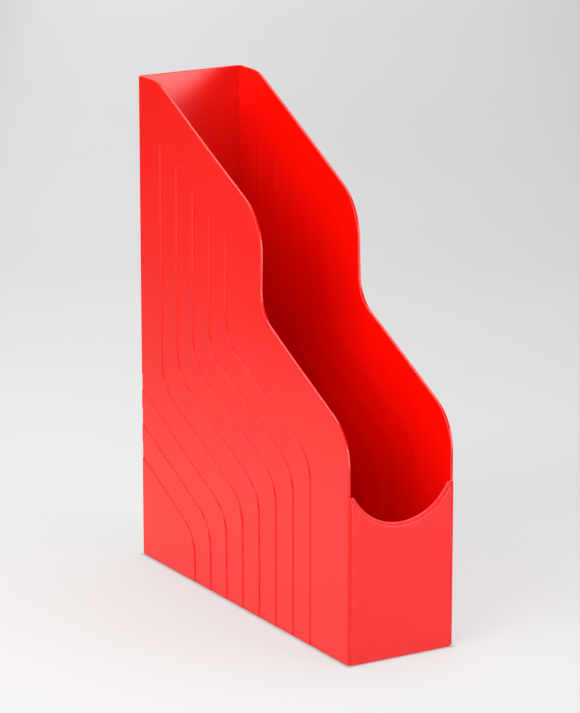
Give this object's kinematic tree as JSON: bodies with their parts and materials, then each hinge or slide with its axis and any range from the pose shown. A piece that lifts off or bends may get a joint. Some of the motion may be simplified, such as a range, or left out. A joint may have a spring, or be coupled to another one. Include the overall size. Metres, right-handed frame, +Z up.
{
  "type": "magazine file holder",
  "caption": "Upright open-topped magazine file holder with a stepped, sloping rim, banded side panels and a scooped low front.",
  "frame": {"origin": "centre of the footprint, on the floor plane", "axes": "+X across the width, square to the side panels; +Y from the low scooped front to the tall back; +Z up"},
  "size_m": [0.075, 0.258, 0.32],
  "materials": {
    "left_side_panel": "satin moulded polystyrene, bright red",
    "right_side_panel": "satin moulded polystyrene, bright red",
    "back_panel": "satin moulded polystyrene, bright red",
    "front_panel": "satin moulded polystyrene, bright red",
    "base_panel": "satin moulded polystyrene, bright red"
  },
  "bodies": {
    "root": {"left_side_panel": "left_side_panel", "right_side_panel": "right_side_panel", "back_panel": "back_panel", "front_panel": "front_panel", "base_panel": "base_panel"}
  },
  "joints": []
}
